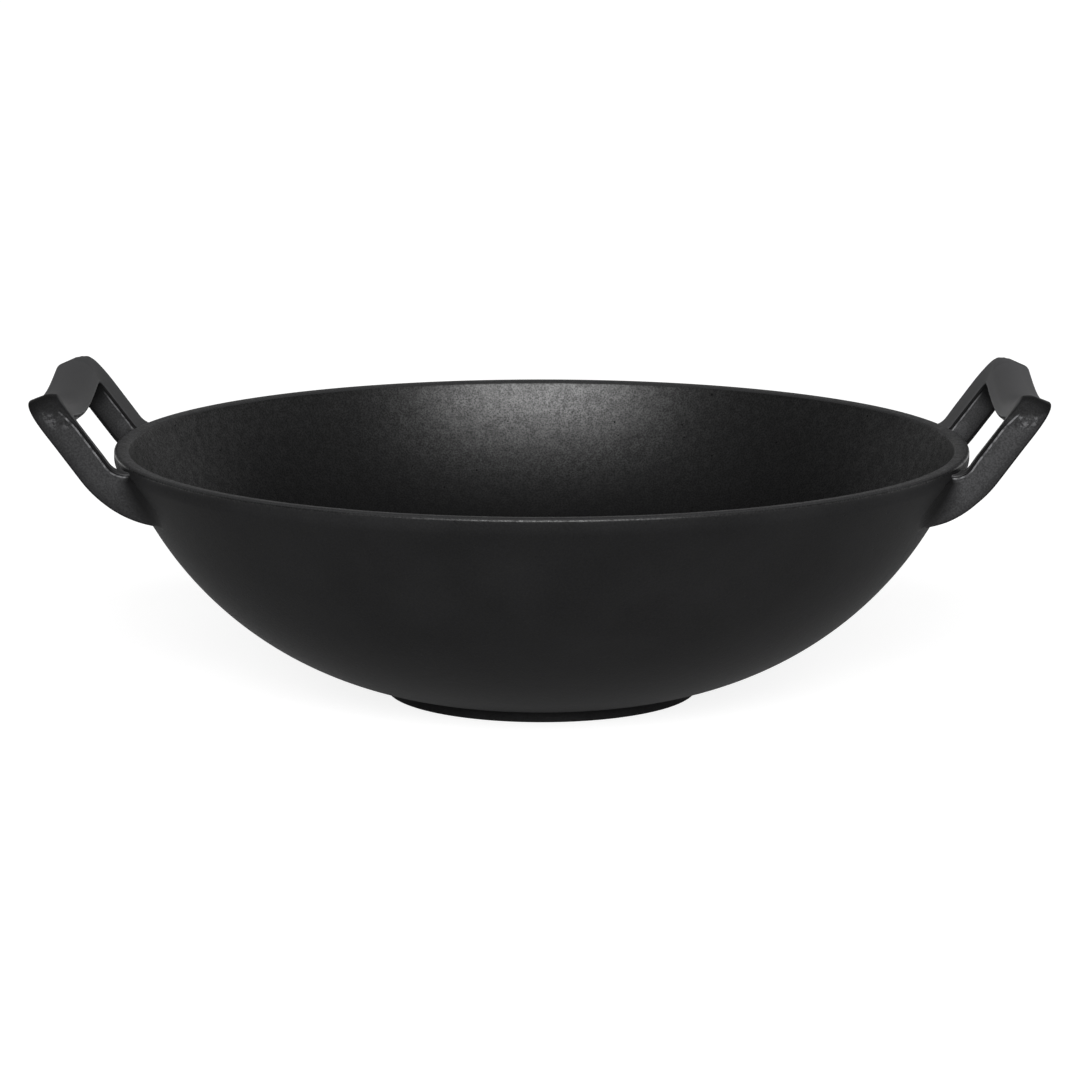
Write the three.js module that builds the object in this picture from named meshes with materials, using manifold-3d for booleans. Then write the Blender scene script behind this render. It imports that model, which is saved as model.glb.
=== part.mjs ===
// A two-handled cast iron wok with a low foot ring, in millimetres, +Z up.
// The origin lies on the table under the middle of the foot ring. +X points to the right-hand handle
// and -Y to the cook. The wok is one casting: its bowl, rim, foot ring, handle arms and grips are
// modelled as the separate forms that a pattern maker joins.

import * as THREE from "three";
import { mergeVertices } from "three/addons/utils/BufferGeometryUtils.js";
import Module from "manifold-3d";

const wasm = await Module();
wasm.setup();

// Bowl: a flat floor that rolls up into a round wall
const RIM_RADIUS = 180; // outermost radius of the rim
const RIM_TOP = 106.5; // crown of the rim above the table
const FLOOR_RADIUS = 35; // flat middle of the floor
const FLOOR_LIFT = 1; // underside of the floor above the table
const WALL = 5; // thickness of the casting

// Rim: the wall flares out to an upright face and thickens under a crowned top
const RIM_PROUD = 2.1; // how far the rim's face stands out of the wall's arc
const RIM_EDGE_DROP = 1.8; // from the crown down to the upright face
const RIM_FACE = 4; // height of the upright face, down to where the flare would cut it
const RIM_SOFTEN = 3.5; // rounding of the turn from the flare to the face, along each of them
const RIM_SKIRT = 1.5; // height of the rim's form below that rounding
const RIM_LIP = 1.2; // rounding from the crown into the inner wall

// Foot ring
const FOOT_RADIUS = 66;
const FOOT_WIDTH = 9;
const FOOT_EDGE = 0.6; // chamfer where the ring meets the table

// Handles: two arms that sweep out of the wall and a saddle-shaped grip between them
const HANDLE_WIDTH = 130; // over the outer faces of the two arms
const HANDLE_REACH = 31.3; // from the rim out to the lower edge of the grip
const HANDLE_RISE = 25.1; // from the rim's crown up to that edge
const HANDLE_ANGLE = THREE.MathUtils.degToRad(53.6); // slope of the arms
const ARM_WIDTH = 14; // along Y
const ARM_THICKNESS = 13.5; // square to the slope, at the outer edge
const ARM_TILT = 1.8; // how far the arms' and the grip's top falls towards the finger gap
const ARM_STRAIGHT = 38.8; // underside from the grip's edge to the bend
const ARM_BEND_RADIUS = 48; // underside of the bend into the wall
const ARM_CROTCH_RADIUS = 9; // hollow between the arm and the rim
const SHELF_DROP = 3; // top of the arm's root below the rim's crown
const ROOT_FLARE = 5; // how far each side of the root spreads into the wall
const ROOT_FLARE_TURN = THREE.MathUtils.degToRad(27); // turn of the bend over which the spread fades
const ROOT_SINK = 24; // length of the root past the wall's face before it is trimmed
const EDGE_ROUND = 1.6; // rounding of the arms' long edges
const GRIP_DEPTH = 16.6; // along the slope, from the finger gap to the lower edge
const GRIP_LEAN = 3.6; // how far the grip's outer face leans back at its top
const GRIP_ROUND = 9; // rounding over the grip's outer top
const GRIP_DIP = 5.5; // sag of the grip in the middle
const GRIP_DIP_REACH = 56; // half the length over which it sags
const GRIP_DIP_EASE = 1.5; // power that flattens the sag's two ends
const GAP_CORNER = 4; // inner corners of the finger gap
const CORNER_FULLNESS = 3.4; // outer corners of the handle: 2 is round, more is squarer

// Clearance between forms that are cut to each other
const SEAT_GAP = 0.3;

// Steps of the round forms
const AROUND = 72;
const WALL_STEPS = 14;
const CURVE_STEPS = 4;
const BEND_STEPS = 5;
const CORNER_STEPS = 6;
const GRIP_STEPS = 12;

// The wall's arc is tangent to the floor and passes behind the rim's outer edge
const rimEdgeHeight = RIM_TOP - RIM_EDGE_DROP;
const arcRun = RIM_RADIUS - RIM_PROUD - FLOOR_RADIUS;
const arcRise = rimEdgeHeight - FLOOR_LIFT;
const arcRadius = (arcRun ** 2 + arcRise ** 2) / (2 * arcRise);
const arcHeight = FLOOR_LIFT + arcRadius;

// The flare leaves the arc on its tangent and runs straight to the corner under the rim's face
const cornerHeight = rimEdgeHeight - RIM_FACE;
const cornerRun = RIM_RADIUS - FLOOR_RADIUS;
const cornerDrop = arcHeight - cornerHeight;
const cornerReach = Math.hypot(cornerRun, cornerDrop);
const flareTurn = Math.atan2(cornerRun, cornerDrop) - Math.acos(arcRadius / cornerReach);
const rimSeat = cornerHeight - RIM_SOFTEN * Math.sin(flareTurn) - RIM_SKIRT;
const seatRadius = RIM_RADIUS - (cornerHeight - rimSeat) / Math.tan(flareTurn);

// Radius at a height of the surface that lies `inside` the bowl's outer face (negative: outside it)
function wallRadius(height, inside) {
  return FLOOR_RADIUS + Math.sqrt((arcRadius - inside) ** 2 - (arcHeight - height) ** 2);
}

// Radius at which that surface's arc ends in the flare
function flareRadius(inside) {
  return FLOOR_RADIUS + (arcRadius - inside) * Math.sin(flareTurn);
}

// Points of that surface between two radii, as (radius, height)
function wallArc(fromRadius, toRadius, inside, steps) {
  const radius = arcRadius - inside;
  const from = Math.asin((fromRadius - FLOOR_RADIUS) / radius);
  const to = Math.asin((toRadius - FLOOR_RADIUS) / radius);
  return Array.from({ length: steps + 1 }, (_, i) => {
    const angle = THREE.MathUtils.lerp(from, to, i / steps);
    return new THREE.Vector2(FLOOR_RADIUS + radius * Math.sin(angle), arcHeight - radius * Math.cos(angle));
  });
}

// Turned about +Z from a profile of (radius, height) points
function turned(profile) {
  return facingOut(new THREE.LatheGeometry(profile, AROUND).rotateX(Math.PI / 2));
}

// Volume under the triangles, negative where they face inwards
function signedVolume(geometry) {
  const { position } = geometry.attributes;
  const index = geometry.index.array;
  const [a, b, c] = [new THREE.Vector3(), new THREE.Vector3(), new THREE.Vector3()];
  let volume = 0;
  for (let i = 0; i < index.length; i += 3) {
    a.fromBufferAttribute(position, index[i]);
    b.fromBufferAttribute(position, index[i + 1]);
    c.fromBufferAttribute(position, index[i + 2]);
    volume += a.dot(b.cross(c)) / 6;
  }
  return volume;
}

function facingOut(geometry) {
  if (signedVolume(geometry) < 0) {
    geometry.index.array.reverse();
    geometry.computeVertexNormals();
  }
  return geometry;
}

// Closed geometry to boolean solid
function solidFrom(geometry) {
  const bare = geometry.clone();
  bare.deleteAttribute("normal");
  bare.deleteAttribute("uv");
  const merged = mergeVertices(bare);
  const index = Array.from(merged.index.array);
  const corners = [];
  for (let i = 0; i < index.length; i += 3) {
    const [a, b, c] = index.slice(i, i + 3);
    if (a !== b && b !== c && c !== a) {
      corners.push(a, b, c);
    }
  }
  const mesh = new wasm.Mesh({
    numProp: 3,
    vertProperties: merged.attributes.position.array,
    triVerts: new Uint32Array(corners),
  });
  return new wasm.Manifold(mesh);
}

function geometryFrom(solid) {
  const mesh = solid.getMesh();
  const geometry = new THREE.BufferGeometry();
  geometry.setAttribute("position", new THREE.BufferAttribute(mesh.vertProperties, 3));
  geometry.setIndex(new THREE.BufferAttribute(mesh.triVerts, 1));
  geometry.computeVertexNormals();
  return geometry;
}

// Skin over a row of like rings, with a flat cap at each end
function lofted(rings) {
  const around = rings[0].length;
  const positions = rings.flat().flatMap((point) => point.toArray());
  const index = [];
  for (let row = 0; row < rings.length - 1; row += 1) {
    for (let i = 0; i < around; i += 1) {
      const a = row * around + i;
      const b = row * around + ((i + 1) % around);
      index.push(a, b, b + around, a, b + around, a + around);
    }
  }
  const last = (rings.length - 1) * around;
  for (let i = 1; i < around - 1; i += 1) {
    index.push(0, i + 1, i);
    index.push(last, last + i, last + i + 1);
  }
  const geometry = new THREE.BufferGeometry();
  geometry.setAttribute("position", new THREE.Float32BufferAttribute(positions, 3));
  geometry.setIndex(index);
  geometry.computeVertexNormals();
  return facingOut(geometry);
}

// Oiled iron: dull where it is as cast, smoother where hands and ladles rub it
const ironMetalness = 0.35;
const asCast = { color: 0x2b2b2c, roughness: 0.62, metalness: ironMetalness };
const rubbed = { color: 0x343435, roughness: 0.5, metalness: ironMetalness };

function piece(name, geometry, finish) {
  const mesh = new THREE.Mesh(geometry, new THREE.MeshStandardMaterial(finish));
  mesh.name = name;
  return mesh;
}

// Bowl
function bowlGeometry() {
  const outside = wallArc(FLOOR_RADIUS, flareRadius(0), 0, WALL_STEPS);
  const seat = new THREE.Vector2(seatRadius, rimSeat);
  const inside = wallArc(wallRadius(rimSeat, WALL), FLOOR_RADIUS, WALL, WALL_STEPS);
  const underside = new THREE.Vector2(0, FLOOR_LIFT);
  const floor = new THREE.Vector2(0, FLOOR_LIFT + WALL);
  return turned([underside, ...outside, seat, ...inside, floor]);
}

// The rim's outer side from its seat up: the top of the flare, the rounding and the upright face
function rimFace() {
  const roundTop = cornerHeight + Math.min(RIM_SOFTEN, RIM_FACE);
  const path = new THREE.Path();
  path.moveTo(seatRadius, rimSeat);
  path.lineTo(
    RIM_RADIUS - RIM_SOFTEN * Math.cos(flareTurn),
    cornerHeight - RIM_SOFTEN * Math.sin(flareTurn),
  );
  path.quadraticCurveTo(RIM_RADIUS, cornerHeight, RIM_RADIUS, roundTop);
  path.lineTo(RIM_RADIUS, rimEdgeHeight);
  return path.getPoints(CURVE_STEPS);
}

// Rim: outer side, crowned top, inner wall and flat seat on the bowl
function rimProfile() {
  const innerTop = wallRadius(RIM_TOP, WALL);
  const lipFoot = RIM_TOP - RIM_LIP;
  const path = new THREE.Path();
  path.moveTo(RIM_RADIUS, rimEdgeHeight);
  path.quadraticCurveTo(RIM_RADIUS, RIM_TOP, innerTop + RIM_LIP, RIM_TOP);
  path.quadraticCurveTo(innerTop, RIM_TOP, wallRadius(lipFoot, WALL), lipFoot);
  path.lineTo(wallRadius(rimSeat, WALL), rimSeat);
  path.lineTo(seatRadius, rimSeat);
  return [...rimFace(), ...path.getPoints(CURVE_STEPS).slice(1)];
}

// Foot ring: stands on the table and follows the bowl's underside
function footGeometry() {
  const inner = FOOT_RADIUS - FOOT_WIDTH;
  const profile = [
    new THREE.Vector2(inner + FOOT_EDGE, 0),
    new THREE.Vector2(FOOT_RADIUS - FOOT_EDGE, 0),
    new THREE.Vector2(FOOT_RADIUS, FOOT_EDGE),
    ...wallArc(FOOT_RADIUS, inner, -SEAT_GAP, CURVE_STEPS),
    new THREE.Vector2(inner, FOOT_EDGE),
    new THREE.Vector2(inner + FOOT_EDGE, 0),
  ];
  return turned(profile);
}

// The space that bowl and rim take, with the clearance that the arms' roots keep to them
function bowlEnvelope() {
  const outside = wallArc(FLOOR_RADIUS, flareRadius(-SEAT_GAP), -SEAT_GAP, WALL_STEPS);
  const face = rimFace().map((point) => new THREE.Vector2(point.x + SEAT_GAP, point.y));
  const clear = RIM_TOP + HANDLE_RISE;
  return turned([
    new THREE.Vector2(0, FLOOR_LIFT),
    ...outside,
    ...face,
    new THREE.Vector2(RIM_RADIUS + SEAT_GAP, clear),
    new THREE.Vector2(0, clear),
  ]);
}

// Handle frame: `along` runs up the slope of the arms and `above` square to it, both from the grip's edge
const armInner = HANDLE_WIDTH / 2 - ARM_WIDTH;
const alongX = Math.cos(HANDLE_ANGLE);
const alongZ = Math.sin(HANDLE_ANGLE);

// Point of the slope as (x, z), before the grip sags
function slopePoint(along, above) {
  const x = RIM_RADIUS + HANDLE_REACH + along * alongX - above * alongZ;
  const z = RIM_TOP + HANDLE_RISE + along * alongZ + above * alongX;
  return new THREE.Vector2(x, z);
}

function handlePoint(along, above, y) {
  const place = slopePoint(along, above);
  const share = Math.min(1, Math.abs(y) / GRIP_DIP_REACH);
  const sag = GRIP_DIP * (1 - share ** 2) ** GRIP_DIP_EASE;
  return new THREE.Vector3(place.x, y, place.y - sag);
}

// Radius at an angle of a unit circle that is swollen towards a square
function swollen(angle) {
  const sum = Math.cos(angle) ** CORNER_FULLNESS + Math.sin(angle) ** CORNER_FULLNESS;
  return sum ** (-1 / CORNER_FULLNESS);
}

// Four-cornered section with rounded corners, as (across, up) points. Corner order: lower inner,
// lower outer, upper outer, upper inner. The outer side leans back by `lean` at its top, and the top
// falls towards the inner side.
function armSection(width, height, lean, outerRound) {
  const corners = [
    [0, 0, EDGE_ROUND],
    [width, 0, EDGE_ROUND],
    [width - lean, height, outerRound],
    [0, height - ARM_TILT, EDGE_ROUND],
  ];
  return corners.flatMap(([across, up, round], i) => {
    const corner = new THREE.Vector2(across, up);
    const before = new THREE.Vector2(...corners[(i + 3) % 4]).sub(corner).normalize();
    const after = new THREE.Vector2(...corners[(i + 1) % 4]).sub(corner).normalize();
    const half = before.angleTo(after) / 2;
    const reach = round / Math.tan(half);
    const start = corner.clone().addScaledVector(before, reach);
    const end = corner.clone().addScaledVector(after, reach);
    const curve = new THREE.QuadraticBezierCurve(start, corner, end);
    return curve.getPoints(CURVE_STEPS);
  });
}

// Rings of one arm, from inside the wall to its joint with the grip. side is -1 at the front, 1 behind.
function armRings(side) {
  const rings = [];
  const bendCentre = slopePoint(-ARM_STRAIGHT, ARM_BEND_RADIUS);
  const crotchHeight = RIM_TOP - SHELF_DROP + ARM_CROTCH_RADIUS;
  const crotchLine = slopePoint(0, ARM_THICKNESS + ARM_CROTCH_RADIUS);
  const crotchX = crotchLine.x + ((crotchHeight - crotchLine.y) * alongX) / alongZ;
  const crotchCentre = new THREE.Vector2(crotchX, crotchHeight);

  // The root: its underside and its top turn about their own centres, from level to the arms' slope
  const rootRing = (angle, sink) => {
    const spoke = new THREE.Vector2(Math.sin(angle), -Math.cos(angle));
    const low = bendCentre.clone().addScaledVector(spoke, ARM_BEND_RADIUS);
    const top = crotchCentre.clone().addScaledVector(spoke, ARM_CROTCH_RADIUS);
    const up = top.clone().sub(low);
    const flare = ROOT_FLARE * Math.max(0, 1 - angle / ROOT_FLARE_TURN) ** 2;
    const section = armSection(ARM_WIDTH + 2 * flare, up.length(), 0, EDGE_ROUND);
    up.normalize();
    return section.map(({ x, y }) => {
      const place = low.clone().addScaledVector(up, y);
      return new THREE.Vector3(place.x - sink, side * (armInner - flare + x), place.y);
    });
  };
  rings.push(rootRing(0, ROOT_SINK));
  for (let i = 0; i <= BEND_STEPS; i += 1) {
    rings.push(rootRing((HANDLE_ANGLE * i) / BEND_STEPS, 0));
  }

  // The corner: the section turns from across the arm to along the slope
  const cornerAlong = -GRIP_DEPTH - GAP_CORNER;
  for (let i = 0; i <= CORNER_STEPS; i += 1) {
    const share = i / CORNER_STEPS;
    const angle = (share * Math.PI) / 2;
    const width = THREE.MathUtils.lerp(ARM_WIDTH, GRIP_DEPTH, share);
    const stretch = ((GAP_CORNER + width) * swollen(angle) - GAP_CORNER) / width;
    const lean = GRIP_LEAN * share;
    const round = THREE.MathUtils.lerp(EDGE_ROUND, GRIP_ROUND, share);
    const section = armSection(width, ARM_THICKNESS, lean, round);
    rings.push(
      section.map(({ x, y }) => {
        const out = GAP_CORNER + x * stretch;
        const across = armInner - GAP_CORNER + out * Math.cos(angle);
        return handlePoint(cornerAlong + out * Math.sin(angle), y, side * across);
      }),
    );
  }
  return rings;
}

function gripRings() {
  const half = armInner - GAP_CORNER;
  const section = armSection(GRIP_DEPTH, ARM_THICKNESS, GRIP_LEAN, GRIP_ROUND);
  return Array.from({ length: GRIP_STEPS + 1 }, (_, i) => {
    const y = half * ((2 * i) / GRIP_STEPS - 1);
    return section.map((point) => handlePoint(point.x - GRIP_DEPTH, point.y, y));
  });
}

const envelope = solidFrom(bowlEnvelope());
const armGeometry = (side) => geometryFrom(solidFrom(lofted(armRings(side))).subtract(envelope));
const nearArm = armGeometry(-1);
const farArm = armGeometry(1);
const grip = lofted(gripRings());

const wok = new THREE.Group();
wok.add(piece("bowl", bowlGeometry(), asCast));
wok.add(piece("rim", turned(rimProfile()), rubbed));
wok.add(piece("foot_ring", footGeometry(), asCast));

const rightHandle = new THREE.Group();
rightHandle.add(piece("right_front_arm", nearArm, asCast));
rightHandle.add(piece("right_rear_arm", farArm, asCast));
rightHandle.add(piece("right_grip", grip, rubbed));
wok.add(rightHandle);

// The left handle is the right one turned half round, so its near arm lies behind
const leftHandle = new THREE.Group();
leftHandle.add(piece("left_front_arm", farArm, asCast));
leftHandle.add(piece("left_rear_arm", nearArm, asCast));
leftHandle.add(piece("left_grip", grip, rubbed));
leftHandle.rotation.z = Math.PI;
wok.add(leftHandle);

export default wok;
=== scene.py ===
# A cast iron wok with a loop handle on each side, standing on a plain pale floor.

import math

import bmesh
import bpy
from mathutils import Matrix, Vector, noise


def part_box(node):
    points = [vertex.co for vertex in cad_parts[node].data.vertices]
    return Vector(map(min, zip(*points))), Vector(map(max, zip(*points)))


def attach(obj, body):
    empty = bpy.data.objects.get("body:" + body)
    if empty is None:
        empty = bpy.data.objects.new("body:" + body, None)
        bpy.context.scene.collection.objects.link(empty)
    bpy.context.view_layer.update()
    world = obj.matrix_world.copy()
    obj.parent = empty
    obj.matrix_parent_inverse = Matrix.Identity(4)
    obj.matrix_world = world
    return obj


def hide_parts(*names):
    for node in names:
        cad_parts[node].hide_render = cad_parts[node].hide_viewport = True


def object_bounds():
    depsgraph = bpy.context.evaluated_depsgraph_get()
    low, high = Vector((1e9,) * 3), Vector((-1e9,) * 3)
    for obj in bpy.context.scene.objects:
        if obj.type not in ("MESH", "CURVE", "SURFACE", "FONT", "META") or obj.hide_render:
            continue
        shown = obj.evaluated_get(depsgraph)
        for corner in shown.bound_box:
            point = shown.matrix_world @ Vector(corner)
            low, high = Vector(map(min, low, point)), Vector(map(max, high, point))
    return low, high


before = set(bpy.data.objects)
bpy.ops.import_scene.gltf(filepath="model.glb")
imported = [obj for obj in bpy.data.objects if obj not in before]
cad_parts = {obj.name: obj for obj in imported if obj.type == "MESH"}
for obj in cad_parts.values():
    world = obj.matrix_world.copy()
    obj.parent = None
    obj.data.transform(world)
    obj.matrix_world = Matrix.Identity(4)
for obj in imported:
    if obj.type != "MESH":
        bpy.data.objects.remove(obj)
cad_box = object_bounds()

# Bowl: the round iron shell that the food cooks in, with a flat middle to its floor. It is poured in
# a sand mould, so both faces keep a fine sandy grain, and oil baked on over it leaves a near-black
# satin.
MM = 0.001
FLOOR_RADIUS = 35 * MM
WALL = 5 * MM
RIM_PROUD = 2.1 * MM
RIM_EDGE_DROP = 1.8 * MM
RIM_FACE = 4 * MM
RIM_WIDTH = 6 * MM
RIM_LIP = 1 * MM
CROWN_FALL = 0.5 * MM
WALL_STEPS = 56
AROUND = 288
SHARP = math.radians(40)
WELD = 1e-6

bowl_low, bowl_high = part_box("bowl")
rim_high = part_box("rim")[1]
FLOOR_UNDER = bowl_low.z
FLOOR_TOP = FLOOR_UNDER + WALL
SEAT = bowl_high.z
RIM_RADIUS = rim_high.x
RIM_TOP = rim_high.z
LIP_RADIUS = RIM_RADIUS - RIM_WIDTH
LIP_TOP = RIM_TOP - CROWN_FALL


def arc_to(low, radius, height):
    """Size and centre of the arc that leaves the floor at a level and passes a radius at a height."""
    run = radius - FLOOR_RADIUS
    rise = height - low
    reach = (run**2 + rise**2) / (2 * rise)
    return reach, Vector((FLOOR_RADIUS, 0, low + reach))


def turn_at(height, reach, centre):
    """How far an arc has turned up from the floor at a height."""
    return math.acos((centre.z - height) / reach)


def radius_at(height, reach, centre):
    """How far an arc has come from the wok's axis at a height."""
    return centre.x + math.sqrt(reach**2 - (centre.z - height) ** 2)


OUTER_ARC = arc_to(FLOOR_UNDER, RIM_RADIUS - RIM_PROUD, RIM_TOP - RIM_EDGE_DROP)
INNER_ARC = arc_to(FLOOR_TOP, LIP_RADIUS, LIP_TOP)
flare_top = Vector((RIM_RADIUS, 0, RIM_TOP - RIM_EDGE_DROP - RIM_FACE))
spread = flare_top - OUTER_ARC[1]
FLARE_TURN = math.atan2(spread.x, -spread.z) - math.acos(OUTER_ARC[0] / spread.length)


def outer_radius(height):
    """Radius of the outer face: the arc, the straight flare above it and the rim's upright face."""
    if turn_at(height, *OUTER_ARC) < FLARE_TURN:
        return radius_at(height, *OUTER_ARC)
    return min(RIM_RADIUS, RIM_RADIUS - (flare_top.z - height) / math.tan(FLARE_TURN))


def line_to(bm, vert, radius, height):
    """Draws a profile on by a straight line and returns its new end."""
    end = bmesh.ops.extrude_vert_indiv(bm, verts=[vert])["verts"][0]
    end.co = (radius, 0, height)
    return end


def swing(bm, vert, centre, turn, steps):
    """Draws a profile on by an arc about a centre and returns its new end."""
    swung = bmesh.ops.spin(bm, geom=[vert], cent=centre, axis=(0, -1, 0), angle=turn, steps=steps)
    return next(item for item in swung["geom_last"] if isinstance(item, bmesh.types.BMVert))


def turn_round(bm):
    """Turns a profile about the wok's axis, as on a lathe."""
    profile = bm.verts[:] + bm.edges[:]
    bmesh.ops.spin(
        bm, geom=profile, axis=(0, 0, 1), angle=math.tau, steps=AROUND, use_merge=True
    )
    bmesh.ops.remove_doubles(bm, verts=bm.verts, dist=WELD)
    bmesh.ops.recalc_face_normals(bm, faces=bm.faces)


def add_piece(name, bm, material, slot, *nodes):
    """Makes a mesh a piece of the wok, in the place of the solids that it stands for."""
    mesh = bpy.data.meshes.new(name)
    for face in bm.faces:
        face.smooth = True
    bm.to_mesh(mesh)
    bm.free()
    mesh.set_sharp_from_angle(angle=SHARP)
    mesh.materials.append(material)
    piece = bpy.data.objects.new(name, mesh)
    bpy.context.scene.collection.objects.link(piece)
    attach(piece, "root")
    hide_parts(*nodes)


class Field:
    """A socket in a material. Arithmetic on fields adds Math nodes, and node() any other node."""

    def __init__(self, tree, socket=None):
        self.tree = tree
        self.socket = socket

    def node(self, kind, inputs, output=0, **settings):
        made = self.tree.nodes.new("ShaderNode" + kind)
        for name, value in settings.items():
            setattr(made, name, value)
        for name, value in inputs.items():
            if isinstance(value, Field):
                self.tree.links.new(value.socket, made.inputs[name])
            else:
                made.inputs[name].default_value = value
        return Field(self.tree, made.outputs[output] if made.outputs else None)

    def math(self, operation, first, second):
        return self.node("Math", {0: first, 1: second}, operation=operation)

    def __add__(self, other):
        return self.math("ADD", self, other)

    def __sub__(self, other):
        return self.math("SUBTRACT", self, other)

    def __rsub__(self, other):
        return self.math("SUBTRACT", other, self)

    def __mul__(self, other):
        return self.math("MULTIPLY", self, other)

    __radd__ = __add__
    __rmul__ = __mul__

    def between(self, low, high, least=0, most=1):
        """least where the field is below low, most where it is above high, eased between."""
        inputs = {"Value": self, "From Min": low, "From Max": high, "To Min": least, "To Max": most}
        return self.node("MapRange", inputs, interpolation_type="SMOOTHSTEP")


GLOSS = 0.04
OIL_ROUGHNESS = 0.37
BLUING = 1.03
MIX_FACTOR, MIX_DARK, MIX_PALE = 0, 6, 7
MIX_COLOUR = 2


def new_finish(name):
    """A new material and the field of places on its piece."""
    material = bpy.data.materials.new(name)
    material.use_nodes = True
    here = Field(material.node_tree).node("TexCoord", {}, output="Object")
    return material, here


def grains(here, size, detail=2):
    return here.node("TexNoise", {"Vector": here, "Scale": 1 / size, "Detail": detail})


def facing_up(here, low, high):
    """1 where a face's normal rises by more than high, 0 where it rises by less than low."""
    normal = here.node("NewGeometry", {}, output="Normal")
    return normal.node("SeparateXYZ", {"Vector": normal}, output="Z").between(low, high)


def lay_on(material, dark, pale, paleness, roughness, oil, height, depth):
    """Links a finish's fields to its shader: greys from dark to pale, sheen, and relief of a depth."""
    shader = material.node_tree.nodes["Principled BSDF"]
    shader.inputs["Specular IOR Level"].default_value = GLOSS
    shader.inputs["Coat Roughness"].default_value = OIL_ROUGHNESS
    greys = {
        MIX_FACTOR: paleness,
        MIX_DARK: (dark, dark, dark * BLUING, 1),
        MIX_PALE: (pale, pale, pale * BLUING, 1),
    }
    colour = paleness.node("Mix", greys, output=MIX_COLOUR, data_type="RGBA")
    relief = height.node("Bump", {"Height": height, "Distance": depth, "Strength": 1})
    fields = {"Base Color": colour, "Roughness": roughness, "Coat Weight": oil, "Normal": relief}
    for name, field in fields.items():
        material.node_tree.links.new(field.socket, shader.inputs[name])


SAND = 0.75 * MM
SAND_SPAN = (0.3, 0.7)
LUMP = 4 * MM
LUMP_SPAN = (0.35, 0.65)
LUMP_HEIGHT = 0.8
CLOUD = 40 * MM
PIT = 0.6 * MM
PIT_SPACING = 9 * MM
PIT_FLAT = 0.6
PIT_DEPTH = 2
CAST_RELIEF = 0.09 * MM

UPWARD = (0, 0.3)
OIL_RISE = (28 * MM, 80 * MM)
SAND_FILM = (0.55, 1.4)
LUMP_FILM = (0.85, 1.15)
CROWN_START = (LIP_RADIUS - 0.75 * RIM_LIP, LIP_RADIUS + 0.25 * RIM_LIP)
CROWN_UPWARD = (0.35, 0.75)
LIP_WIPED = 0.1
CROWN_WIPED = 0.35
CROWN_SMOOTHED = 0.7

CAST_DARK = 0.004
CAST_PALE = 0.09
SAND_TONE = 0.13
CLOUD_TONE = 0.2
OIL_DARKENED = 0.9
CROWN_TONE = 0.33
CROWN_CLOUD = 0.06
CAST_ROUGHNESS = 0.55
CLOUD_ROUGHNESS = 0.1
SAND_ROUGHNESS = 0.08


def cast_finish(name):
    """Near-black sandy iron, oiled to a satin in the bowl and dressed paler on the rim's crown."""
    material, here = new_finish(name)
    sand = grains(here, SAND)
    lumps = grains(here, LUMP, detail=3)
    cloud = grains(here, CLOUD)
    cells = here.node("TexVoronoi", {"Vector": here, "Scale": 1 / PIT_SPACING}, output="Distance")
    clear_of_pits = cells.between(PIT_FLAT * PIT / PIT_SPACING, PIT / PIT_SPACING)
    inside = facing_up(here, *UPWARD)
    level_place = here.node("VectorMath", {0: here, 1: (1, 1, 0)}, operation="MULTIPLY")
    radius = here.node("VectorMath", {0: level_place}, output="Value", operation="LENGTH")
    rim_edge = radius.between(*CROWN_START)
    crown = rim_edge * facing_up(here, *CROWN_UPWARD)
    risen = here.node("SeparateXYZ", {"Vector": here}, output="Z").between(*OIL_RISE)
    oiled = inside * risen * (1 - LIP_WIPED * rim_edge - CROWN_WIPED * crown)
    film = sand.between(*SAND_SPAN, *SAND_FILM) * lumps.between(*LUMP_SPAN, *LUMP_FILM)
    cast_tone = (SAND_TONE * sand + CLOUD_TONE * cloud) * (1 - OIL_DARKENED * inside)
    grain = (sand + LUMP_HEIGHT * lumps) * (1 - CROWN_SMOOTHED * crown)
    lay_on(
        material,
        dark=CAST_DARK,
        pale=CAST_PALE,
        paleness=cast_tone + crown * (CROWN_TONE + CROWN_CLOUD * cloud),
        roughness=CAST_ROUGHNESS + CLOUD_ROUGHNESS * cloud + SAND_ROUGHNESS * sand,
        oil=oiled * clear_of_pits * film,
        height=grain + PIT_DEPTH * clear_of_pits,
        depth=CAST_RELIEF,
    )
    return material


bowl = bmesh.new()
end = line_to(bowl, bowl.verts.new((0, 0, FLOOR_UNDER)), FLOOR_RADIUS, FLOOR_UNDER)
end = swing(bowl, end, OUTER_ARC[1], FLARE_TURN, WALL_STEPS)
end = line_to(bowl, end, outer_radius(SEAT), SEAT)
end = line_to(bowl, end, radius_at(SEAT, *INNER_ARC), SEAT)
end = swing(bowl, end, INNER_ARC[1], -turn_at(SEAT, *INNER_ARC), WALL_STEPS)
line_to(bowl, end, 0, FLOOR_TOP)
turn_round(bowl)
add_piece("cast_bowl", bowl, cast_finish("bowl_iron"), "bowl_iron", "bowl")

# Rim: the thickened edge round the mouth, cast with the bowl. Its crowned top has been dressed
# smooth and paler on a wheel, and its edges are rounded over above the upright outer face.
CROWN_ROUND = 1.7 * MM
SHOULDER_ROUND = 1.8 * MM
LIP_START = LIP_TOP - 2 * RIM_LIP
ROUND_STEPS = 6
INNER_STEPS = 6


def round_off(bm, corner, size):
    """Rounds a corner of a profile."""
    bmesh.ops.bevel(
        bm,
        geom=[corner],
        offset=size,
        affect="VERTICES",
        segments=ROUND_STEPS,
        profile=0.5,
        material=-1,
    )


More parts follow.
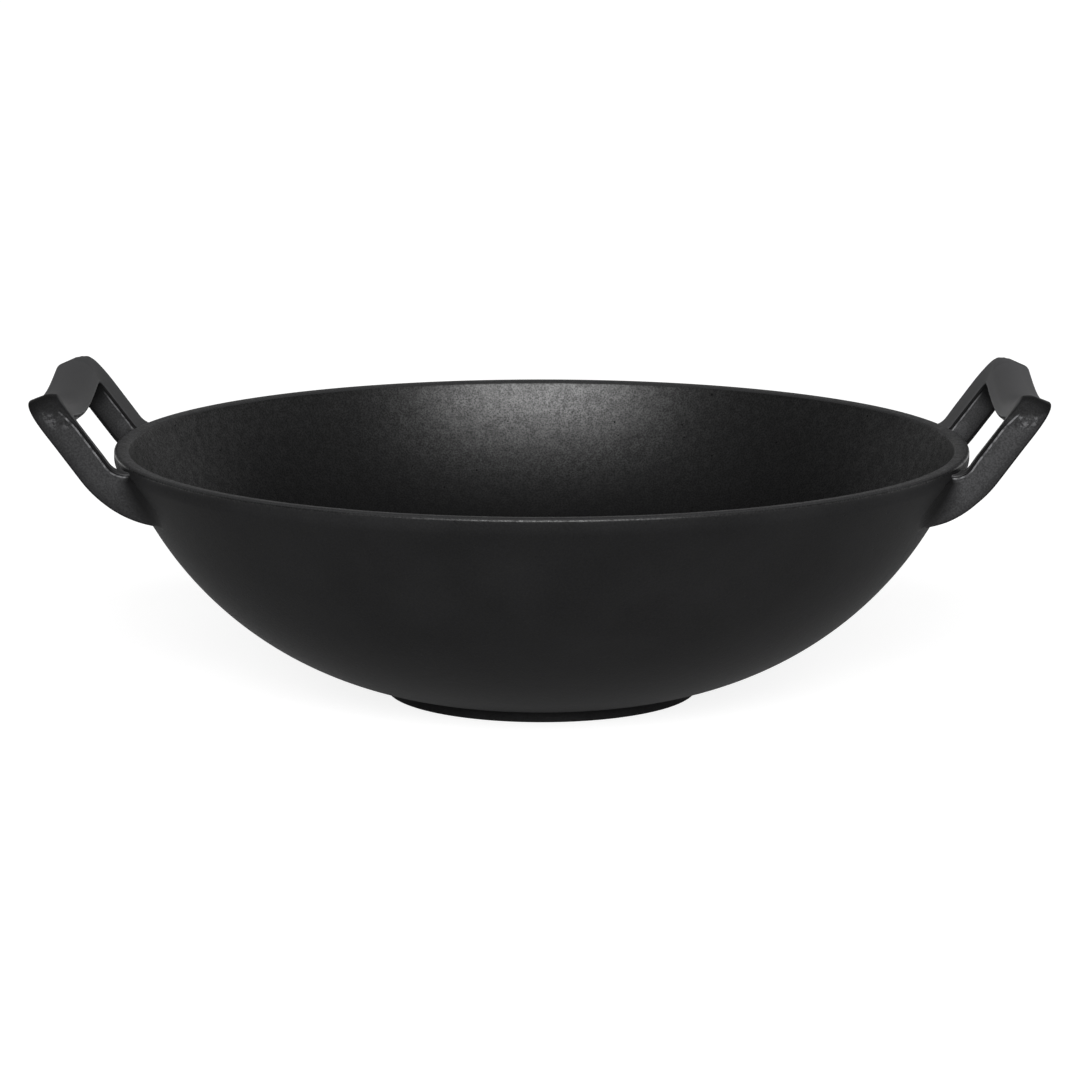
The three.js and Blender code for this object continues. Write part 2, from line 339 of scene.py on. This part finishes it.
rim = bmesh.new()
inner_seat = rim.verts.new((radius_at(SEAT, *INNER_ARC), 0, SEAT))
inner_turn = turn_at(LIP_START, *INNER_ARC) - turn_at(SEAT, *INNER_ARC)
inner_top = swing(rim, inner_seat, INNER_ARC[1], inner_turn, INNER_STEPS)
lip = line_to(rim, inner_top, LIP_RADIUS, LIP_TOP)
brow = line_to(rim, lip, RIM_RADIUS, RIM_TOP)
shoulder = line_to(rim, brow, RIM_RADIUS, flare_top.z)
outer_seat = line_to(rim, shoulder, outer_radius(SEAT), SEAT)
rim.edges.new((outer_seat, inner_seat))
round_off(rim, lip, RIM_LIP)
round_off(rim, brow, CROWN_ROUND)
round_off(rim, shoulder, SHOULDER_ROUND)
turn_round(rim)
add_piece("rim_band", rim, cast_finish("rim_iron"), "rim_iron", "rim")

# Foot ring: the low ring under the floor that the wok stands on, cast with the bowl and then ground
# flat. Soot and oil keep it darker than the wall above.
FOOT_WIDTH = 9 * MM
FOOT_EDGE = 0.6 * MM
FOOT_SINK = 0.2 * MM
FOOT_SAND = 1.2 * MM
SOOT = 15 * MM
FOOT_DARK = 0.011
FOOT_PALE = 0.04
FOOT_ROUGHNESS = 0.65
SOOT_ROUGHNESS = 0.15
SOOT_OIL = 0.1
FOOT_RELIEF = 0.1 * MM

FOOT_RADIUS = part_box("foot_ring")[1].x
FOOT_INSIDE = FOOT_RADIUS - FOOT_WIDTH


def foot_top(radius):
    """Height at which the foot runs into the bowl's underside."""
    reach, centre = OUTER_ARC
    return centre.z - math.sqrt(reach**2 - (radius - FLOOR_RADIUS) ** 2) + FOOT_SINK


def sooty_finish(name):
    """Dull dark iron with uneven soot."""
    material, here = new_finish(name)
    sand = grains(here, FOOT_SAND)
    soot = grains(here, SOOT, detail=3)
    lay_on(
        material,
        dark=FOOT_DARK,
        pale=FOOT_PALE,
        paleness=0.5 * sand + 0.5 * soot,
        roughness=FOOT_ROUGHNESS + SOOT_ROUGHNESS * soot,
        oil=SOOT_OIL * soot,
        height=sand + soot,
        depth=FOOT_RELIEF,
    )
    return material


foot = bmesh.new()
inner_corner = foot.verts.new((FOOT_INSIDE, 0, 0))
outer_corner = line_to(foot, inner_corner, FOOT_RADIUS, 0)
end = line_to(foot, outer_corner, FOOT_RADIUS, foot_top(FOOT_RADIUS))
end = line_to(foot, end, FOOT_INSIDE, foot_top(FOOT_INSIDE))
foot.edges.new((end, inner_corner))
round_off(foot, inner_corner, FOOT_EDGE)
round_off(foot, outer_corner, FOOT_EDGE)
turn_round(foot)
add_piece("standing_ring", foot, sooty_finish("foot_iron"), "foot_iron", "foot_ring")

# Arms: on each side two iron arms sweep out of the wall, cast with it, and turn a soft square corner
# into the grip. They are left rough from the sand, with a thin flash where the mould's halves met.
HANDLE_WIDTH = 130 * MM
HANDLE_REACH = 31.3 * MM
HANDLE_RISE = 25.1 * MM
HANDLE_ANGLE = math.radians(53.6)

ARM_WIDTH = 14 * MM
ARM_THICKNESS = 13.5 * MM
ARM_TILT = 1.8 * MM
ARM_STRAIGHT = 38.8 * MM
ARM_BEND_RADIUS = 48 * MM
CROTCH_RADIUS = 9 * MM
CROTCH_SPAN = (0.15, 0.7)
SHELF_DROP = 3 * MM
EDGE_ROUND = 1.6 * MM
BROW_ROUND = 0.8 * MM
LOWER_ROUND = 1.2 * MM

GRIP_DEPTH = 16.6 * MM
GRIP_LEAN = 3.6 * MM
GRIP_ROUND = 9 * MM
GRIP_DIP = 5.5 * MM
GRIP_DIP_REACH = 56 * MM
GRIP_DIP_EASE = 1.5
GAP_CORNER = 4 * MM
CORNER_FULLNESS = 3.4
NOSE_EASE = 1.5

ROOT_FILLET = 10.5 * MM
TOP_FILLET = 1.2 * MM
TOP_FILLET_SPAN = (0.6, 0.9)
UNDER_FILLET = 1 * MM
UNDER_FILLET_SPAN = (0, 0.3)
ROOT_DEPTH = 1.2 * MM
RUN_LIMITS = (-60 * MM, 90 * MM)
RUN_HALVINGS = 40

FLASH = 0.12 * MM
FLASH_STEP = 0.5 * MM
FLASH_WAVER = 0.5
FLASH_WAVES = 7
FLASH_STARTS = (0, 0.25)
FLASH_ENDS = (0, 0.4)

FILLET_STEPS = 10
BEND_STEPS = 16
STRAIGHT_STEPS = 18
CORNER_STEPS = 14
ROUND_SHARES = [i / ROUND_STEPS for i in range(ROUND_STEPS + 1)]

# Wear is kept in the mesh as a vector: rubbed, linished and flashed. Its rub also holds painted shade
# on the inner faces, and partly painted light on the right handle.
WEAR_AND_SHADE = "wear_and_shade"
BARE = Vector((0, 0, 0))
RUBBED = Vector((1, 0, 0))
LINISHED = Vector((0, 1, 0))
FLASHED = Vector((0, 0, 1))
TOP_RUB = 0.85
FRONT_RUB = 0.4
# The inner faces are rubbed less than the outer ones as painted shade, and they fade to bare iron
# towards the grip as a painted shadow.
INNER_RUB_SHADED = 0.8
RUB_SHARES = {"low": 0.45, "mid": 0.85, "face": 1}
RUB_STARTS = (0.4, 0.8)
RUB_ENDS = (0.5, 0.75)
GRIP_SHADOW_ENDS = (2 / 3, 1)
CREST_STARTS = (0, 0.5)
LINISH_STARTS = (0.75, 1)

# A section's four sides, point by point: share of the side, how far proud and kind of wear. Before
# each side comes a round of seven points, with a kind of wear for each.
UNDERSIDE = ((0.33, 0, "bare"), (0.67, 0, "bare"))
OUTER_FACE = (
    (0.02, 0, "low"),
    (0.25, 0, "mid"),
    (0.5, 0, "face"),
    (0.75, 0, "face"),
    (0.89, 0, "face"),
    (0.9, FLASH, "flash"),
    (0.955, FLASH, "flash"),
    (0.965, -FLASH_STEP, "step"),
    (0.995, -FLASH_STEP, "step"),
)
TOP_FACE = ((0.02, 0, "top"), (0.33, 0, "top"), (0.67, 0, "top"), (0.98, 0, "top"))
INNER_FACE = tuple((1 - share, out, f"inner_{kind}") for share, out, kind in reversed(OUTER_FACE))
FACES = (UNDERSIDE, OUTER_FACE, TOP_FACE, INNER_FACE)
ROUNDS = (
    ["bare"] * 7,
    ["bare"] * 5 + ["low"] * 2,
    ["brow"] * 4 + ["crest"] * 3,
    ["top"] * 4 + ["bare"] * 3,
)
COLUMNS = []
for round_kinds, face in zip(ROUNDS, FACES):
    COLUMNS += round_kinds + [kind for _, _, kind in face]

arm_inner = HANDLE_WIDTH / 2 - ARM_WIDTH
slope = Vector((math.cos(HANDLE_ANGLE), 0, math.sin(HANDLE_ANGLE)))
square = Vector((-math.sin(HANDLE_ANGLE), 0, math.cos(HANDLE_ANGLE)))
grip_edge = Vector((RIM_RADIUS + HANDLE_REACH, 0, RIM_TOP + HANDLE_RISE))
bend_centre = grip_edge - slope * ARM_STRAIGHT + square * ARM_BEND_RADIUS
bend_length = ARM_BEND_RADIUS * HANDLE_ANGLE
crotch_height = RIM_TOP - SHELF_DROP + CROTCH_RADIUS
crotch_line = grip_edge + square * (ARM_THICKNESS + CROTCH_RADIUS)
crotch_centre = crotch_line + slope * ((crotch_height - crotch_line.z) / slope.z)


def ramp(value, start, end):
    """0 up to start, 1 from end on and straight between."""
    return min(max((value - start) / (end - start), 0), 1)


def outline(width, lean, outer_round, flash=0, step=0):
    """A section's points as (across, up), from the lower inner corner round its outer side."""
    corners = [Vector((0, 0)), Vector((width, 0))]
    corners += [Vector((width - lean, ARM_THICKNESS)), Vector((0, ARM_THICKNESS - ARM_TILT))]
    rounds = (EDGE_ROUND, LOWER_ROUND, outer_round, EDGE_ROUND)
    starts, ends = [], []
    for i, corner in enumerate(corners):
        before = (corners[i - 1] - corner).normalized()
        after = (corners[(i + 1) % 4] - corner).normalized()
        reach = rounds[i] / math.tan(before.angle(after) / 2)
        starts.append(corner + before * reach)
        ends.append(corner + after * reach)
    points = []
    for i, corner in enumerate(corners):
        for share in ROUND_SHARES:
            points.append(starts[i].lerp(corner, share).lerp(corner.lerp(ends[i], share), share))
        side = starts[(i + 1) % 4] - ends[i]
        outward = Vector((side.y, -side.x)).normalized()
        for share, out, _ in FACES[i]:
            points.append(ends[i] + side * share + outward * out * (flash if out > 0 else step))
    return points


def arm_place(run, up):
    """Point of the arm's side at a way `run` along its bend and a height `up` in its section."""
    turn = min(max(run / ARM_BEND_RADIUS, 0), HANDLE_ANGLE)
    spoke = Vector((math.sin(turn), 0, -math.cos(turn)))
    low = bend_centre + spoke * ARM_BEND_RADIUS
    rise = crotch_centre + spoke * CROTCH_RADIUS - low
    thickening = (rise.length - ARM_THICKNESS) * ramp(up / ARM_THICKNESS, *CROTCH_SPAN)
    place = low + rise.normalized() * (up + thickening)
    place.x += min(run, 0)
    return place + slope * max(run - bend_length, 0)


def clearance(place, y):
    """How far a point stands out of the wall and of the rim."""
    out = math.hypot(place.x, y) - outer_radius(place.z)
    return out * math.sin(FLARE_TURN) + max(place.z - RIM_TOP, 0)


def run_to(out, up, y):
    """The way along the bend at which the arm's side stands out by `out`."""
    low, high = RUN_LIMITS
    for _ in range(RUN_HALVINGS):
        middle = (low + high) / 2
        if clearance(arm_place(middle, up), y) < out:
            low = middle
        else:
            high = middle
    return high


def handle_point(along, up, y):
    """Point of the handle's outer part, which sags between its corners."""
    share = ramp(abs(y), 0, GRIP_DIP_REACH)
    sag = GRIP_DIP * (1 - share**2) ** GRIP_DIP_EASE
    return grip_edge + slope * along + square * up + Vector((0, y, -sag))


def swollen(turn):
    """How far a full, squarish corner reaches where a round one reaches 1."""
    total = math.cos(turn) ** CORNER_FULLNESS + math.sin(turn) ** CORNER_FULLNESS
    return total ** (-1 / CORNER_FULLNESS)


def arm_rings(side, seed):
    """Rings of an arm from the wall to its joint with the grip, and the marks of each point of them,
    with painted shade on the inner face.
    """
    edge_rub = TOP_RUB if side > 0 else FRONT_RUB
    points = outline(ARM_WIDTH, 0, BROW_ROUND)
    normals = []
    fillets = []
    for i, point in enumerate(points):
        chord = points[(i + 1) % len(points)] - points[i - 1]
        normals.append(Vector((chord.y, -chord.x)).normalized())
        up_share = point.y / ARM_THICKNESS
        fillet = ROOT_FILLET + (TOP_FILLET - ROOT_FILLET) * ramp(up_share, *TOP_FILLET_SPAN)
        under = 1 - ramp(up_share, *UNDER_FILLET_SPAN)
        fillets.append(fillet + (UNDER_FILLET - fillet) * under)

    def root_ring(out_share, push_share, sunk=0):
        """A ring round the arm's root, pushed out over the fillet, and the runs of its points."""
        ring, runs = [], []
        for point, normal, fillet in zip(points, normals, fillets):
            across, up = point + normal * fillet * push_share
            y = side * (arm_inner + across)
            run = run_to(fillet * out_share - sunk, up, y)
            place = arm_place(run, up)
            ring.append(Vector((place.x, y, place.z)))
            runs.append(run)
        return ring, runs

    def worn_and_shaded(face=0, inner=0, top=TOP_RUB, crest=edge_rub, ledge=BARE, linish=0):
        """Marks of the points of a ring: rub, linish and flash, the inner faces' rub carrying painted
        shade.
        """
        kinds = {"bare": BARE, "inner_step": BARE, "step": BARE, "brow": LINISHED * crest}
        if side < 0:
            kinds["step"] = ledge.project(RUBBED)
            kinds["brow"] = ledge
        kinds["top"] = LINISHED * top
        kinds["crest"] = LINISHED * crest
        kinds["flash"] = (RUBBED + FLASHED) * face
        kinds["inner_flash"] = (RUBBED + FLASHED) * inner
        for kind, share in RUB_SHARES.items():
            kinds[kind] = RUBBED * share * face
            kinds[f"inner_{kind}"] = RUBBED * share * inner
        return [kinds[kind].lerp(LINISHED, linish) for kind in COLUMNS]

    rings = [root_ring(0, 1, sunk=ROOT_DEPTH)[0]]
    wears_and_shades = [worn_and_shaded(ledge=LINISHED * TOP_RUB)]
    for i in range(FILLET_STEPS + 1):
        share = i / FILLET_STEPS
        turn = math.pi / 2 * share
        ring, runs = root_ring(1 - math.cos(turn), 1 - math.sin(turn))
        rings.append(ring)
        rub = ramp(share, *RUB_STARTS)
        wears_and_shades.append(worn_and_shaded(rub, rub, ledge=LINISHED * TOP_RUB))
    for i in range(1, BEND_STEPS + 1):
        share = i / BEND_STEPS
        step = ramp(share, *FLASH_STARTS)
        flash = step * (1 + FLASH_WAVER * noise.noise((seed, share * FLASH_WAVES, 0)))
        ring = []
        for point, run in zip(outline(ARM_WIDTH, 0, BROW_ROUND, flash, step), runs):
            place = arm_place(run + (bend_length - run) * share, point.y)
            ring.append(Vector((place.x, side * (arm_inner + point.x), place.z)))
        rings.append(ring)
        wears_and_shades.append(worn_and_shaded(1, INNER_RUB_SHADED, ledge=LINISHED * TOP_RUB * (1 - share) ** 2))

    corner_along = -GRIP_DEPTH - GAP_CORNER
    corner_rings, corner_wears_and_shades = [], []
    for i in range(CORNER_STEPS + 1):
        share = i / CORNER_STEPS
        turn = math.pi / 2 * share
        width = ARM_WIDTH + (GRIP_DEPTH - ARM_WIDTH) * share
        stretch = ((GAP_CORNER + width) * swollen(turn) - GAP_CORNER) / width
        nose = BROW_ROUND + (GRIP_ROUND - BROW_ROUND) * share**NOSE_EASE
        fade = 1 - ramp(share, *FLASH_ENDS)
        ring = []
        for point in outline(width, GRIP_LEAN * share, nose, fade, fade):
            out = GAP_CORNER + point.x * stretch
            across = arm_inner - GAP_CORNER + out * math.cos(turn)
            along = corner_along + out * math.sin(turn)
            ring.append(handle_point(along, point.y, side * across))
        corner_rings.append(ring)
        rub = 1 - ramp(share, *RUB_ENDS)
        wear_and_shade = worn_and_shaded(
            rub,
            top=TOP_RUB + (1 - TOP_RUB) * share,
            crest=max(edge_rub, ramp(share, *CREST_STARTS)),
            ledge=RUBBED * rub * (1 - fade),
            linish=ramp(share, *LINISH_STARTS),
        )
        corner_wears_and_shades.append(wear_and_shade)

    bend_end = rings[-1]
    for i in range(1, STRAIGHT_STEPS):
        share = i / STRAIGHT_STEPS
        rings.append([a.lerp(b, share) for a, b in zip(bend_end, corner_rings[0])])
        # Towards the grip the inner face fades to bare iron: a painted shadow.
        wears_and_shades.append(worn_and_shaded(1, INNER_RUB_SHADED * (1 - ramp(share, *GRIP_SHADOW_ENDS))))
    return rings + corner_rings, wears_and_shades + corner_wears_and_shades


def skin(rings, wears_and_shades, hand, drawn, wear_and_light_shares):
    """A flat grid rolled up round the rings and closed.

    hand is 1 on the right and -1 on the left, drawn says how far the handle's front and rear are
    drawn in, and wear_and_light_shares how strong its rubbed, linished and flashed marks are; the
    right handle's stronger ones are partly painted light.
    """
    around = len(rings[0])
    rows = len(rings) - 1
    front, rear = drawn
    bm = bmesh.new()
    bmesh.ops.create_grid(bm, x_segments=around, y_segments=rows, size=0.5)
    wear_and_shade = bm.verts.layers.float_vector.new(WEAR_AND_SHADE)
    for vert in bm.verts:
        row = round((vert.co.y + 0.5) * rows)
        column = round((vert.co.x + 0.5) * around) % around
        place = rings[row][column]
        free = ramp(place.x, RIM_RADIUS - ARM_WIDTH, RIM_RADIUS)
        out = place.x - (front + (rear - front) * (place.y / HANDLE_WIDTH + 0.5)) * free
        vert.co = (min(out, cad_box[1].x) * hand, place.y, min(place.z, cad_box[1].z))
        vert[wear_and_shade] = wears_and_shades[row][column] * wear_and_light_shares
    bmesh.ops.remove_doubles(bm, verts=bm.verts, dist=WELD)
    bmesh.ops.holes_fill(bm, edges=[edge for edge in bm.edges if edge.is_boundary])
    bmesh.ops.recalc_face_normals(bm, faces=bm.faces)
    return bm


PATCH = 18 * MM
CAP_RISE = (127 * MM, 129 * MM)
CAP_WAVER = 6 * MM
CAP_DARKENED = 0.6
SCUFF_RISE = (121.5 * MM, 124.5 * MM)
SCUFF_DARKENED = 0.1
SCUFF_SPAN = (0.4, 0.62)
FLECK = 1.6 * MM
FLECK_SPAN = (0.5, 0.64)
FLECK_TONE = 0.5
SEAM_BREAK = 2.5 * MM
SEAM_SPAN = (0.35, 0.6)
FLASH_TONE_AND_HIGHLIGHT = (0.1, 0.75)
BRUSHED_TONE = (0.12, 0.28)
BRUSHED_PATCH = 0.14
LINISHED_TONE = 0.31
LINISHED_PATCH = 0.05
LINISHED_OIL = 0.2
SAND_OIL = 0.15
HANDLE_DARK = 0.009
HANDLE_PALE = 0.2
HANDLE_ROUGHNESS = 0.5
PATCH_ROUGHNESS = 0.1
HANDLE_LUMPS = 1.2
HANDLE_RELIEF = 0.15 * MM


def handle_finish(name, smoothness):
    """Bare dark iron, paler where it is rubbed, paler along the flash partly as a painted highlight,
    and smooth where it is linished.
    """
    material, here = new_finish(name)
    sand = grains(here, SAND, detail=3)
    lumps = grains(here, LUMP, detail=3)
    patches = grains(here, PATCH)
    worn_and_shaded = here.node("Attribute", {}, output="Vector", attribute_name=WEAR_AND_SHADE)
    # The rub holds painted shade on the arms' inner faces, darkest by the grip. With the linish and
    # flash it is stronger on the right handle, partly as painted light.
    rubbed = worn_and_shaded.node("SeparateXYZ", {"Vector": worn_and_shaded}, output="X")
    linished = worn_and_shaded.node("SeparateXYZ", {"Vector": worn_and_shaded}, output="Y")
    flashed = worn_and_shaded.node("SeparateXYZ", {"Vector": worn_and_shaded}, output="Z")
    wavering = here.node("SeparateXYZ", {"Vector": here}, output="Z") + CAP_WAVER * (lumps - 0.5)
    cap = wavering.between(*CAP_RISE)
    scuffed = wavering.between(*SCUFF_RISE)
    flecks = grains(here, FLECK, detail=3).between(*FLECK_SPAN)
    flecks = scuffed * (1 - cap) * rubbed.between(*SCUFF_SPAN) * flecks
    brushed = sand.between(*SAND_SPAN, *BRUSHED_TONE) + BRUSHED_PATCH * patches
    brushed = brushed - SCUFF_DARKENED * scuffed + FLECK_TONE * flecks
    face = rubbed * brushed * (1 - CAP_DARKENED * cap)
    # Along the flash the iron is paler: rubbed bare metal, and partly a painted highlight where the
    # ridge catches the lamps.
    breaks = grains(here, SEAM_BREAK, detail=3).between(*SEAM_SPAN, *FLASH_TONE_AND_HIGHLIGHT)
    flash_line_and_highlight = flashed * (1 - cap) * breaks
    lay_on(
        material,
        dark=HANDLE_DARK,
        pale=HANDLE_PALE,
        paleness=face + flash_line_and_highlight + linished * (LINISHED_TONE + LINISHED_PATCH * patches),
        roughness=HANDLE_ROUGHNESS + PATCH_ROUGHNESS * patches,
        oil=linished * facing_up(here, *UPWARD) * (LINISHED_OIL + SAND_OIL * sand),
        height=(sand + HANDLE_LUMPS * lumps) * (1 - smoothness * linished),
        depth=HANDLE_RELIEF,
    )
    return material


SIDES = (("front", -1), ("rear", 1))
# Each hand: its name, its side, how far its front and rear are drawn in, and shares for its rubbed,
# linished and flashed marks. The right handle's larger shares make it more worn, and partly paint on
# light that falls more from the right.
HANDS = (
    ("left", -1, (0.5 * MM, 0), Vector((0.62, 1, 1))),
    ("right", 1, (1.6 * MM, 0.5 * MM), Vector((0.9, 1.28, 1.2))),
)
arm_iron = handle_finish("arm_iron", smoothness=0.5)
for hand_name, hand, drawn, wear_and_light_shares in HANDS:
    for side_name, side in SIDES:
        arm = skin(*arm_rings(side, seed=3 * hand + side), hand, drawn, wear_and_light_shares)
        node = f"{hand_name}_{side_name}_arm"
        add_piece(f"{node}_casting", arm, arm_iron, "arm_iron", node)

# Grips: the saddle-shaped bars between the arms, cast with them. Their tops are linished smooth for
# the hand, so they have a finer grain and a more even satin than the arms.
GRIP_STEPS = 48


def grip_rings():
    """Rings of a grip from its front end to its rear one."""
    half = arm_inner - GAP_CORNER
    section = outline(GRIP_DEPTH, GRIP_LEAN, GRIP_ROUND)
    rings = []
    for i in range(GRIP_STEPS + 1):
        y = half * (2 * i / GRIP_STEPS - 1)
        rings.append([handle_point(point.x - GRIP_DEPTH, point.y, y) for point in section])
    return rings


grip_iron = handle_finish("grip_iron", smoothness=0.9)
grip_wears = [[LINISHED] * len(COLUMNS)] * (GRIP_STEPS + 1)
for hand_name, hand, drawn, wear_and_light_shares in HANDS:
    grip = skin(grip_rings(), grip_wears, hand, drawn, wear_and_light_shares)
    node = f"{hand_name}_grip"
    add_piece(f"{node}_casting", grip, grip_iron, "grip_iron", node)

# Floor: a wide pale sheet under the wok that runs on past the picture's edges, so that it is the
# background too. It keeps the wok's shadow, and the iron mirrors it dimmer close to the foot.
FLOOR_SIZE = 60
FLOOR_GREY = (0.4, 0.4, 0.4, 1)
FLOOR_GLOW = 0.86
FOOT_SHADE = 0.55
SHADE_REACH = 30 * MM
WHITE = (1, 1, 1, 1)

floor_grid = bmesh.new()
bmesh.ops.create_grid(floor_grid, x_segments=1, y_segments=1, size=FLOOR_SIZE / 2)
sheet = bpy.data.meshes.new("floor")
floor_grid.to_mesh(sheet)
floor_grid.free()
floor = bpy.data.objects.new("floor", sheet)
bpy.context.scene.collection.objects.link(floor)

paper = bpy.data.materials.new("floor_paper")
paper.use_nodes = True
paper.node_tree.nodes.clear()
sheet.materials.append(paper)
floor_place = Field(paper.node_tree).node("TexCoord", {}, output="Object")
away = floor_place.node("VectorMath", {0: floor_place}, output="Value", operation="LENGTH")
lit = away.between(FOOT_RADIUS, FOOT_RADIUS + SHADE_REACH, 1 - FOOT_SHADE, 1)
seen = floor_place.node("LightPath", {}, output="Is Camera Ray")
mirrored = floor_place.node("LightPath", {}, output="Is Glossy Ray")
through = floor_place.node("LightPath", {}, output="Is Transmission Ray")
brightness = FLOOR_GLOW * (seen + lit * (mirrored + through))
glow = seen.node("Emission", {"Color": WHITE, "Strength": brightness})
matt = seen.node("BsdfDiffuse", {"Color": FLOOR_GREY})
both = seen.node("AddShader", {0: glow, 1: matt})
seen.node("OutputMaterial", {"Surface": both})

# Light: three soft lamps in a row above the camera, a little to the right, and a room that is palest
# low down and dark overhead.
LAMP_HEIGHT = math.radians(28)
LAMP_RIGHT = math.radians(1.2)
LAMP_STEP = math.radians(17)
LAMP_SPREAD = math.radians(28)
LAMP_LIGHT = 1.08
ROOM_LOW = 0.3
ROOM_HIGH = 0.05
ROOM_RISE = (0.28, 0.52)
ROOM_RIGHT = 0.25

for place_in_row in (-1, 0, 1):
    lamp_light = bpy.data.lights.new("soft_lamp", "SUN")
    lamp_light.energy = LAMP_LIGHT
    lamp_light.angle = LAMP_SPREAD
    lamp = bpy.data.objects.new("soft_lamp", lamp_light)
    lamp_turn = place_in_row * LAMP_STEP + LAMP_RIGHT
    lamp.rotation_euler = (math.pi / 2 - LAMP_HEIGHT, 0, lamp_turn)
    bpy.context.scene.collection.objects.link(lamp)

room = bpy.data.worlds.new("room")
bpy.context.scene.world = room
room.use_nodes = True
room.node_tree.nodes.clear()
way = Field(room.node_tree).node("TexCoord", {}, output="Generated")
upward = way.node("SeparateXYZ", {"Vector": way}, output="Z")
rightward = way.node("SeparateXYZ", {"Vector": way}, output="X")
room_light = upward.between(*ROOM_RISE, ROOM_LOW, ROOM_HIGH) * (1 + ROOM_RIGHT * rightward)
air = way.node("Background", {"Color": WHITE, "Strength": room_light})
air.node("OutputWorld", {"Surface": air})

# Camera: where the photograph was taken from, about 1.8 metres in front of the wok and a quarter of
# a metre above its grips, looking slightly down through a long lens.
CAMERA_TILT = math.radians(10.676)
CAMERA_TURN = math.radians(0.6)
CAMERA_PLACE = (17.8 * MM, -1768.7 * MM, 397.6 * MM)
LENS_LENGTH = 141.3
SENSOR_WIDTH = 36
FARTHEST = 100

lens = bpy.data.cameras.new("camera")
lens.lens = LENS_LENGTH
lens.sensor_width = SENSOR_WIDTH
lens.clip_end = FARTHEST
camera = bpy.data.objects.new("camera", lens)
camera.location = CAMERA_PLACE
camera.rotation_euler = (math.pi / 2 - CAMERA_TILT, 0, CAMERA_TURN)
bpy.context.scene.collection.objects.link(camera)
bpy.context.scene.camera = camera
bpy.context.scene.view_settings.view_transform = "Standard"
